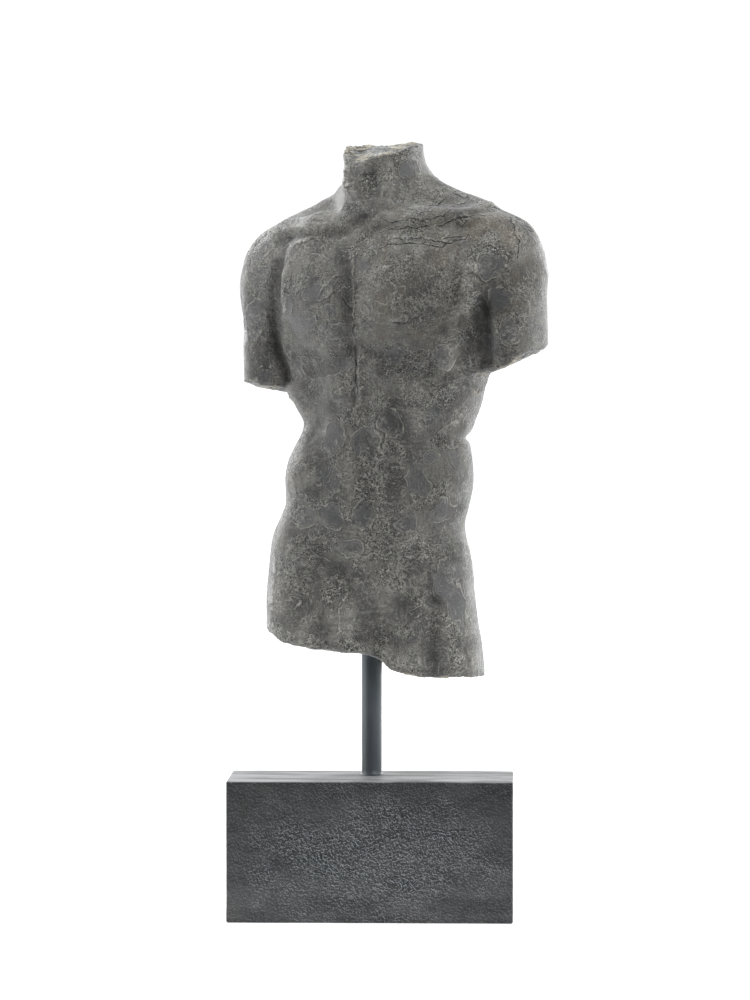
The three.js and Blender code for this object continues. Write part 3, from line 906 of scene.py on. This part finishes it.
def plates(tree, place, placed):
    """How far inside a smooth plate of the skin a place lies, in metres, and below zero off the plates."""
    pushed = warped(tree, place, 70, 0.003)
    cell = {"Vector": pushed, "Scale": plate_cells}
    edge = node(tree, "ShaderNodeTexVoronoi", cell, feature="DISTANCE_TO_EDGE").outputs[0]
    chance = node(tree, "ShaderNodeTexVoronoi", cell, feature="F1").outputs["Color"]
    chance = node(tree, "ShaderNodeSeparateXYZ", {0: chance}).outputs[0]
    chosen = sums(tree, "GREATER_THAN", chance, 0.9)
    inside = sums(tree, "SUBTRACT", sums(tree, "DIVIDE", edge, plate_cells), 0.0012)
    inside = sums(tree, "MULTIPLY_ADD", chosen, sums(tree, "ADD", inside, far_outside), -far_outside)
    wobble = sums(tree, "SUBTRACT", noise(tree, place, 90, 3.0, 0, 41), 0.5)
    wobble = sums(tree, "MULTIPLY", wobble, 0.011)
    return sums(tree, "MAXIMUM", inside, sums(tree, "ADD", placed, wobble))


def rims(tree, depth, width):
    """The raised lines along the plates' stepped edges, from 0 to 1."""
    outer = ramp(tree, sums(tree, "ABSOLUTE", depth), 0.0, width, 1.0, 0.0)
    inner = sums(tree, "ABSOLUTE", sums(tree, "SUBTRACT", depth, 0.0026))
    return sums(tree, "MAXIMUM", outer, ramp(tree, inner, 0.0, width, 0.3, 0.0))


def rim_shadows(tree, depth, width):
    """The dark lines just outside the plates, painted shadows of their stepped edges, from 0 to 1."""
    outside = sums(tree, "ABSOLUTE", sums(tree, "ADD", depth, 1.6 * width))
    return ramp(tree, outside, 0.0, width, 1.0, 0.0)


def beside(tree, place, distance, strength, width):
    """A wandering line along placed paths and a thinner one above it, from the distance to the paths."""
    wander = sums(tree, "SUBTRACT", noise(tree, place, 110, 4.0, 0, 7), 0.5)
    off = sums(tree, "MULTIPLY_ADD", wander, 0.012, distance)
    uneven = ramp(tree, noise(tree, place, 170, 2.0, 0, 13), 0.32, 0.54, 0.2, 1.0)
    uneven = sums(tree, "MULTIPLY", uneven, strength)
    line = sums(tree, "MULTIPLY", ramp(tree, sums(tree, "ABSOLUTE", off), width, 0.2 * width), uneven)
    next_to = sums(tree, "ABSOLUTE", sums(tree, "SUBTRACT", off, 1.7 * width))
    next_to = ramp(tree, next_to, 0.8 * width, 0.0)
    return line, sums(tree, "MULTIPLY", next_to, uneven)


def flakes(tree, place):
    """The torn layers of a break: ridges that run across it, from 0 to 1."""
    return noise(tree, stretched(tree, place, (0.45, 1.3, 1.2)), 130, 4.0, 1.5, 5)


tree, given = relief_tree(
    "torso relief",
    {
        "Swell": 0.0022,
        "Lumps": 0.0012,
        "Rim height": 0.0004,
        "Crack depth": 0.0007,
        "Torn height": 0.0075,
    },
)
place = node(tree, "GeometryNodeInputPosition").outputs[0]


def mask_of(tree, name):
    """A mask on the surface, read inside a relief tree."""
    return node(tree, "GeometryNodeInputNamedAttribute", {"Name": name}, data_type="FLOAT").outputs[0]


whole_skin = sums(tree, "SUBTRACT", 1.0, mask_of(tree, "broken"))
depth = plates(tree, place, mask_of(tree, "plate"))
rough_skin = sums(tree, "MULTIPLY", ramp(tree, depth, 0.0, 0.003, 1.0, 0.35), whole_skin)
swell = sums(tree, "SUBTRACT", noise(tree, place, 24, 2.0, 0, 21), 0.5)
height = sums(tree, "MULTIPLY", swell, given.outputs["Swell"])
lumps = sums(tree, "SUBTRACT", noise(tree, place, 80, 3.0, 0.4, 22), 0.5)
lumps = sums(tree, "MULTIPLY", sums(tree, "MULTIPLY", lumps, given.outputs["Lumps"]), rough_skin)
height = sums(tree, "ADD", height, lumps)
rim_width = 0.0016
raised = sums(tree, "MULTIPLY", rims(tree, depth, rim_width), whole_skin)
height = sums(tree, "MULTIPLY_ADD", raised, given.outputs["Rim height"], height)
crack_width = 0.0015
distance, strength = mask_of(tree, "crack"), mask_of(tree, "crack strength")
crack, lip = beside(tree, place, distance, strength, crack_width)
crack = sums(tree, "SUBTRACT", sums(tree, "MULTIPLY", lip, 0.3), crack)
height = sums(tree, "MULTIPLY_ADD", crack, given.outputs["Crack depth"], height)
distance, strength = mask_of(tree, "vein"), mask_of(tree, "vein strength")
vein = beside(tree, place, distance, strength, rim_width)[0]
height = sums(tree, "MULTIPLY_ADD", vein, given.outputs["Rim height"], height)
flake_middle = 0.41
torn = sums(tree, "SUBTRACT", flakes(tree, place), flake_middle)
torn = sums(tree, "MULTIPLY", torn, given.outputs["Torn height"])
height = sums(tree, "ADD", height, sums(tree, "MULTIPLY", torn, mask_of(tree, "broken")))
end_relief(tree, given, height)
relief = tree

slate_resin, tree, shader, place = new_material("slate resin")


def kept(tree, name):
    """A mask on the surface, read inside a material."""
    return node(tree, "ShaderNodeAttribute", attribute_name=name).outputs["Fac"]


skin = skin_of(tree, place, 850.0, 150.0)
depth = plates(tree, place, kept(tree, "plate"))
smooth = ramp(tree, depth, 0.0, 0.0025)
broken_off = ramp(tree, noise(tree, place, 70, 2.0, 0, 42), 0.42, 0.60)
painted_rim = 0.0007
painted_line = 0.0008
rim = sums(tree, "MULTIPLY", rims(tree, depth, painted_rim), broken_off)
# The dark lines outside the plates are painted shadows of their stepped edges.
step = sums(tree, "MULTIPLY", rim_shadows(tree, depth, painted_rim), broken_off)
crack, lip = beside(tree, place, kept(tree, "crack"), kept(tree, "crack strength"), painted_line)
# Beside each vein runs a thinner dark line, a painted shadow.
vein, shade = beside(tree, place, kept(tree, "vein"), kept(tree, "vein strength"), painted_line)
torn = flakes(tree, place)
broken_away = kept(tree, "broken")

# Fine coral: light worms on a dark ground, dense in some places and thin in others, with a dark furrow
# beside each worm that is bumped in and also painted as a shadow.
zone = ramp(tree, noise(tree, place, 34, 4.0, 0.6, 43), 0.51, 0.58)
ragged = sums(tree, "SUBTRACT", noise(tree, place, 110, 3.0, 0.5, 55), 0.5)
ragged = sums(tree, "MULTIPLY", ragged, 0.03)


def ragged_place(name):
    """The inside of the placed ovals of one kind, with a ragged edge."""
    return ramp(tree, sums(tree, "ADD", kept(tree, name), ragged), -0.001, 0.001)


big_cloud = noise(tree, place, 150, 0.6, 1.6, 44)
small_cloud = noise(tree, place, 290, 0.4, 1.2, 45)
worms = lines(tree, big_cloud, 0.038)
small_worms = lines(tree, small_cloud, 0.06)
furrow_shadows = lines(tree, sums(tree, "ADD", big_cloud, 0.055), 0.036)
small_furrow_shadows = lines(tree, sums(tree, "ADD", small_cloud, 0.095), 0.06)
furrow_shadows = sums(tree, "MAXIMUM", furrow_shadows, sums(tree, "MULTIPLY", small_furrow_shadows, 0.9))
zone = sums(tree, "MAXIMUM", zone, ragged_place("coral"))
zone = sums(tree, "MULTIPLY", zone, sums(tree, "MULTIPLY_ADD", smooth, -0.85, 1.0))
zone = sums(tree, "MAXIMUM", zone, 0.06)
sparkle = ramp(tree, noise(tree, place, 260, 1.0, 0, 54), 0.40, 0.62, 0.25, 1.0)
coral = sums(tree, "MAXIMUM", worms, sums(tree, "MULTIPLY", small_worms, 0.9))
coral = sums(tree, "MULTIPLY", coral, sparkle)
# Brush marks: short streaks of the wash, upright in some places and level in others.
upright = noise(tree, stretched(tree, place, (1, 1, 0.16)), 420, 3.0, 0.3, 51)
level_marks = noise(tree, stretched(tree, place, (0.2, 0.2, 1)), 380, 3.0, 0.3, 52)
which = ramp(tree, noise(tree, place, 22, 2.0, 0.5, 53), 0.46, 0.54)
turned = sums(tree, "SUBTRACT", level_marks, upright)
brushed = sums(tree, "MULTIPLY_ADD", which, turned, upright)
# Brushed lines: thin level lines of a slow cloud, close together where it changes quickly.
cloud = noise(tree, place, 26, 2.0, 0.8, 46)
level_lines = sums(tree, "PINGPONG", sums(tree, "MULTIPLY", cloud, 22.0), 0.5)
level_lines = ramp(tree, level_lines, 0.36, 0.5)
gaps = ramp(tree, noise(tree, place, 240, 2.0, 0, 47), 0.42, 0.6)
level_lines = sums(tree, "MULTIPLY", level_lines, gaps)
patches = ramp(tree, noise(tree, place, 40, 1.0, 0, 48), 0.45, 0.6)
level_lines = sums(tree, "MULTIPLY", level_lines, patches)

# Colour, from the ground up: mottled slate with brush marks, the placed tints, some with painted light and
# shade, pores and crests, the coral's furrows with their painted shadows and its worms, flecks, hairlines,
# the plates' edges with painted shadows outside them, veins with painted shadows beside them, cracks, and
# the raw breaks.
dark_slate = (0.044, 0.044, 0.042, 1)
light_slate = (0.144, 0.143, 0.131, 1)
wash = (0.46, 0.455, 0.41, 1)
# The darkest of these is the colour of the painted shadows beside the plates' edges and the veins.
shadow_paint = (0.022, 0.021, 0.019, 1)
tone = noise(tree, place, 32, 4.0, 0.7, 49)
colour = blend(tree, ramp(tree, tone, 0.36, 0.64), dark_slate, light_slate)
colour = blend(tree, ramp(tree, brushed, 0.50, 0.34, 0.0, 0.55), colour, (0.034, 0.034, 0.032, 1))
colour = blend(tree, ramp(tree, brushed, 0.54, 0.70, 0.0, 0.5), colour, (0.22, 0.217, 0.195, 1))
brown_cloud = ramp(tree, noise(tree, place, 34, 3.0, 0.5, 32), 0.42, 0.60)
low = ramp(tree, kept(tree, "relief"), -0.0012, -0.0002, 1.0, 0.0)
grain = noise(tree, place, 420, 1.5, 0.9, 50)
strong = sums(tree, "MULTIPLY_ADD", zone, 0.75, 0.25)
strong = sums(tree, "MULTIPLY", strong, sums(tree, "MULTIPLY_ADD", smooth, -0.6, 1.0))
pores = sums(tree, "MULTIPLY", ramp(tree, grain, 0.46, 0.38), strong)
crests = sums(tree, "MULTIPLY", ramp(tree, grain, 0.57, 0.66), strong)
for mask, amount, tint in (
    (zone, 0.7, (0.036, 0.036, 0.034, 1)),
    (sums(tree, "MULTIPLY", kept(tree, "brown"), brown_cloud), 0.6, (0.112, 0.092, 0.066, 1)),
    (smooth, 0.7, (0.066, 0.069, 0.075, 1)),
    (ragged_place("dark"), 0.75, (0.034, 0.034, 0.033, 1)),
    (ragged_place("pale"), 0.4, (0.175, 0.172, 0.155, 1)),
    (low, 0.5, (0.036, 0.036, 0.033, 1)),
    (pores, 0.9, (0.026, 0.026, 0.025, 1)),
    (crests, 0.6, (0.32, 0.317, 0.288, 1)),
    (sums(tree, "MULTIPLY", furrow_shadows, zone), 0.85, (0.020, 0.020, 0.019, 1)),
    (sums(tree, "MULTIPLY", coral, zone), 0.9, wash),
    (sums(tree, "MULTIPLY", skin["Pits"], strong), 0.95, (0.020, 0.020, 0.019, 1)),
    (sums(tree, "MULTIPLY", skin["Flecks"], strong), 0.7, wash),
    (skin["Hairs"], 0.45, wash),
    (level_lines, 0.55, wash),
    (rim, 0.5, wash),
    (step, 0.75, shadow_paint),
    (lip, 0.35, wash),
    (vein, 0.45, wash),
    (shade, 0.6, shadow_paint),
    (crack, 0.95, (0.016, 0.015, 0.014, 1)),
):
    colour = laid(tree, colour, mask, amount, tint)
beige = ramp(tree, noise(tree, place, 48, 2.0, 0.5, 61), 0.44, 0.60)
raw = blend(tree, beige, (0.20, 0.203, 0.20, 1), (0.40, 0.365, 0.285, 1))
raw = blend(tree, ramp(tree, torn, 0.54, 0.42), raw, (0.05, 0.049, 0.045, 1))
colour = laid(tree, colour, broken_away, 0.85, raw)
# The colour is scaled by the kept lightness factor, which holds painted light and painted shade.
inputs = {0: colour, "Scale": kept(tree, "lightness_with_painted_shading")}
colour = node(tree, "ShaderNodeVectorMath", inputs, operation="SCALE").outputs[0]
feed(tree, shader.inputs["Base Color"], colour)
feed(tree, shader.inputs["Roughness"], ramp(tree, smooth, 0.0, 1.0, 0.54, 0.42))
shader.inputs["Sheen Weight"].default_value = 0.9
shader.inputs["Sheen Roughness"].default_value = 0.14
shader.inputs["Sheen Tint"].default_value = (0.88, 0.94, 1.0, 1)
fine = bump(tree, skin["Height"], 0.0004, 0.7)
fine = bump(tree, grain, 0.0012, 0.8, fine)
coral_height = sums(tree, "MULTIPLY", sums(tree, "SUBTRACT", coral, furrow_shadows), zone)
fine = bump(tree, coral_height, 0.0005, 0.9, fine)
fine = bump(tree, sums(tree, "ADD", rim, level_lines), 0.0005, 0.7, fine)
fine = bump(tree, sums(tree, "MULTIPLY", crack, -1.0), 0.0008, 0.8, fine)
feed(tree, shader.inputs["Normal"], fine)

torso = finished("torso_casting", torso_mesh, relief, slate_resin, torso_triangles)
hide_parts("torso")
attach(torso, "root")
